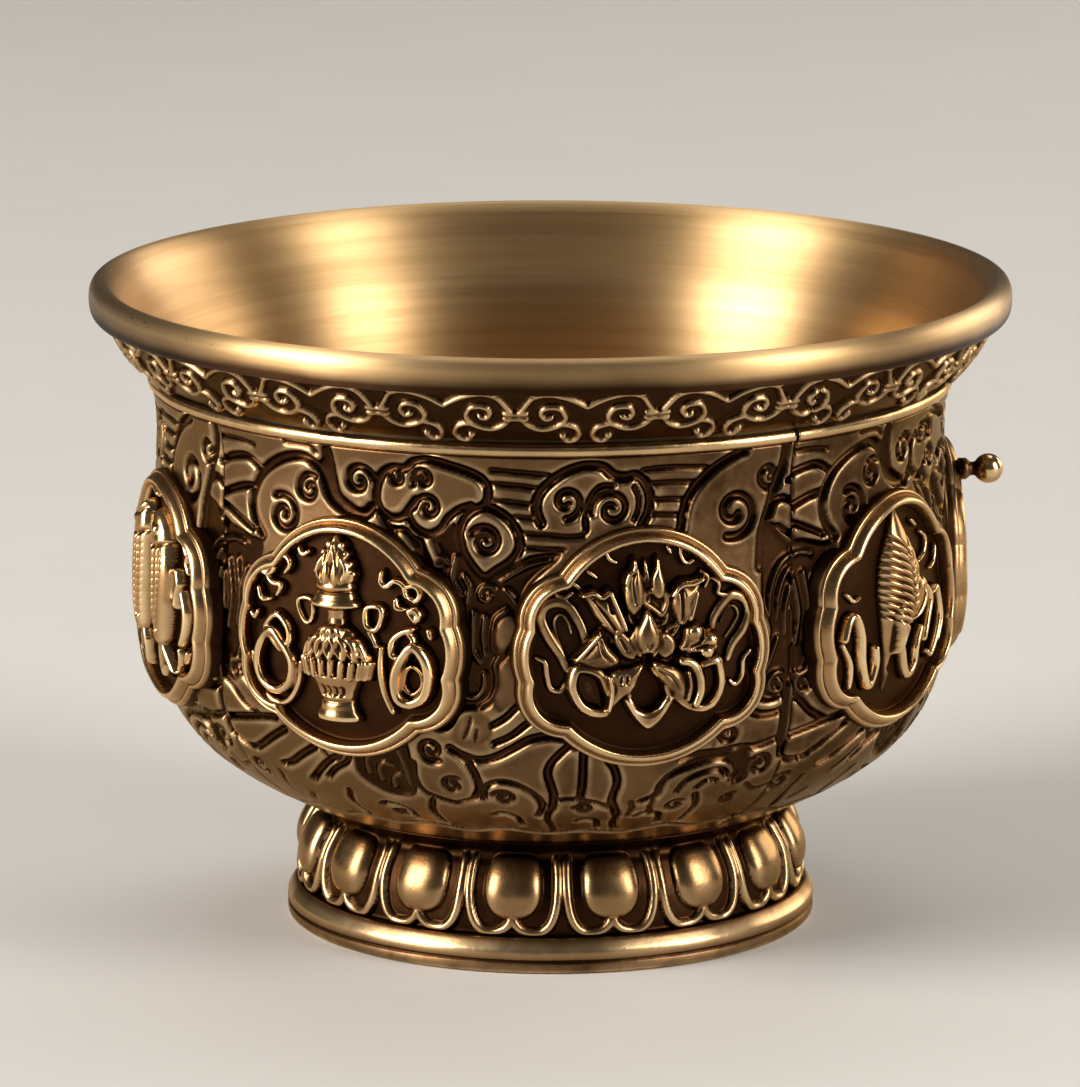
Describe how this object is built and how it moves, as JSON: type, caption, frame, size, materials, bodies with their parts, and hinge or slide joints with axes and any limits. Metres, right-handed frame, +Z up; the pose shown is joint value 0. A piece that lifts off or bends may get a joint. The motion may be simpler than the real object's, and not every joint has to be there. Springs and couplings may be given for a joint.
{
  "type": "offering bowl",
  "caption": "Footed brass water offering bowl with a flared lip, a scroll band, raised auspicious-symbol medallions on an ornamented wall and a lotus-petal foot.",
  "frame": {"origin": "centre of the foot on the surface that the bowl stands on", "axes": "+Z up along the bowl's axis, -Y towards the side with the vase and lotus medallions, +X to the right of that side"},
  "size_m": [0.08, 0.08, 0.0564],
  "materials": {
    "brushed_brass": "spun and lathe-brushed antique brass with an anisotropic sheen",
    "patina_brass": "cast antique brass, polished plateaus over dark brown recesses",
    "dark_brass": "antique brass scrolls over a dark brown ground",
    "bead_brass": "semi-polished antique brass wire",
    "medallion_brass": "polished antique brass frame round a dark ground",
    "emblem_brass": "polished high relief in antique brass with dark crevices",
    "foot_brass": "polished petals in antique brass between dark grooves",
    "ring_brass": "satin antique brass with worn bright edges"
  },
  "bodies": {
    "root": {"liner_bowl": "brushed_brass", "wall_panel_1": "patina_brass", "wall_panel_2": "patina_brass", "wall_panel_3": "patina_brass", "wall_panel_4": "patina_brass", "scroll_band": "dark_brass", "bead_ring": "bead_brass", "medallion_fish": "medallion_brass", "medallion_vase": "medallion_brass", "medallion_lotus": "medallion_brass", "medallion_conch": "medallion_brass", "medallion_knot": "medallion_brass", "medallion_banner": "medallion_brass", "medallion_wheel": "medallion_brass", "medallion_parasol": "medallion_brass", "emblem_fish": "emblem_brass", "emblem_vase": "emblem_brass", "emblem_lotus": "emblem_brass", "emblem_conch": "emblem_brass", "emblem_knot": "emblem_brass", "emblem_banner": "emblem_brass", "emblem_wheel": "emblem_brass", "emblem_parasol": "emblem_brass", "side_pearl": "emblem_brass", "foot_drum": "foot_brass", "foot_ring": "ring_brass"}
  },
  "joints": []
}
